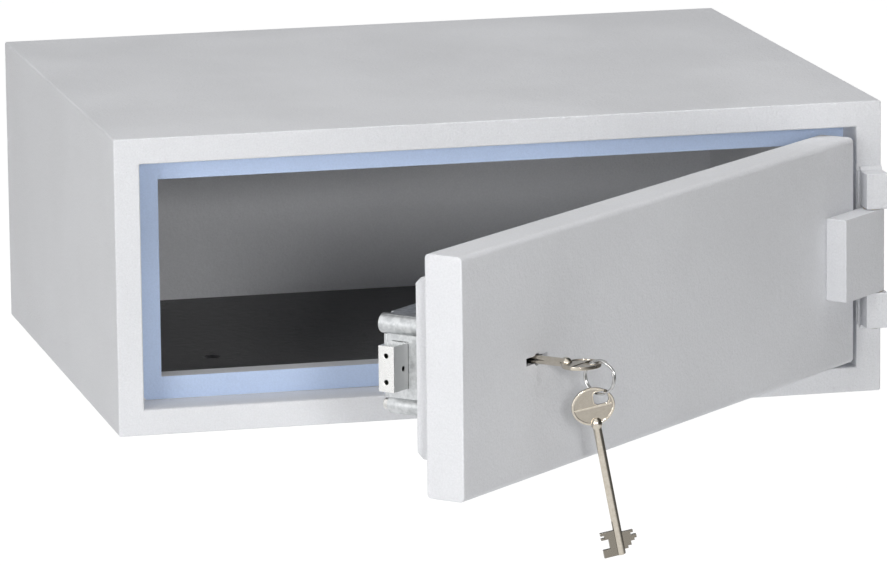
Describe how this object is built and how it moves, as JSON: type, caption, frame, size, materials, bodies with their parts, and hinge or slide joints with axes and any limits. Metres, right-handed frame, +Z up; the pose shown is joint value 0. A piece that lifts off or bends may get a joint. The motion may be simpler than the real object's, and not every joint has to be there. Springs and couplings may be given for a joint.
{
  "type": "furniture safe",
  "caption": "Low, wide steel furniture safe with an outside-hinged front door, a double-bit lever lock, and keys on a split ring.",
  "frame": {"origin": "middle of the body's base, on its underside; the hanging spare key reaches below it", "axes": "+X to the right seen from the front, +Y from the front to the back, +Z up"},
  "size_m": [0.5, 0.7272, 0.2147],
  "materials": {
    "body_paint": "pale grey powder coat, fine texture",
    "frame_paint": "pale grey powder coat, fine texture",
    "door_paint": "pale grey powder coat, fine texture",
    "strip_paint": "pale blue satin",
    "mat": "dark grey felt",
    "zinc": "zinc plated, dull",
    "bright_steel": "bright zinc",
    "bolt_steel": "bright nickel",
    "hard_steel": "black, oiled",
    "brass": "plain",
    "key_nickel": "worn nickel, cast",
    "ring_steel": "bright nickel"
  },
  "bodies": {
    "body": {"outer_shell": "body_paint", "back_panel": "body_paint", "rebate_frame": "frame_paint", "stop_strip": "strip_paint", "bolt_keeper": "zinc", "floor_mat": "mat", "hinge_block_upper": "body_paint", "hinge_block_lower": "body_paint", "hinge_pin": "bright_steel", "hinge_washers": "brass"},
    "door": {"door_panel": "door_paint", "door_inner_pan": "frame_paint", "guard_plate": "hard_steel", "key_guide": "zinc", "hinge_arm": "door_paint", "dog_bar": "zinc", "lock_case": "zinc", "lock_cover": "zinc", "lock_screws": "bright_steel", "cover_screws": "bright_steel"},
    "curtain": {"lock_curtain": "brass"},
    "key": {"key": "key_nickel"},
    "bolt": {"lock_bolt": "bolt_steel"},
    "levers": {"lock_levers": "brass", "lever_springs": "bright_steel"},
    "ring": {"key_ring": "ring_steel"},
    "spare": {"spare_key": "key_nickel"}
  },
  "joints": [
    {"name": "door_hinge", "type": "hinge", "parent": "body", "child": "door", "pos_m": [0.2423, -0.2078, 0.095], "axis": [0, 0, 1], "range_deg": [-43.5, 131.5]},
    {"name": "key_turn", "type": "hinge", "parent": "door", "child": "curtain", "pos_m": [-0.04662, -0.47122, 0.0932], "axis": [0.6884, -0.7254, 0], "range_deg": [0, 180]},
    {"name": "key_withdraw", "type": "slide", "parent": "curtain", "child": "key", "axis": [0.6884, -0.7254, 0], "range_m": [0, 0.065]},
    {"name": "bolt_slide", "type": "slide", "parent": "door", "child": "bolt", "axis": [-0.7254, -0.6884, 0], "range_m": [0, 0.014]},
    {"name": "lever_lift", "type": "hinge", "parent": "door", "child": "levers", "pos_m": [-0.0653, -0.42001, 0.1092], "axis": [-0.6884, 0.7254, 0], "range_deg": [0, 4], "stiffness_Nm_per_rad": 0.3, "springref_deg": -17.19},
    {"name": "ring_swing", "type": "hinge", "parent": "key", "child": "ring", "pos_m": [-0.01492, -0.49663, 0.0932], "axis": [-0.7254, -0.6884, 0], "range_deg": [0, 80]},
    {"name": "spare_swing", "type": "hinge", "parent": "ring", "child": "spare", "pos_m": [-0.01492, -0.49663, 0.07543], "axis": [0.6884, -0.7254, 0], "range_deg": [-40, 40]}
  ],
  "couplings": [
    {"joint": "key_turn", "follows": "bolt_slide", "rad_per_m": 224.4}
  ]
}
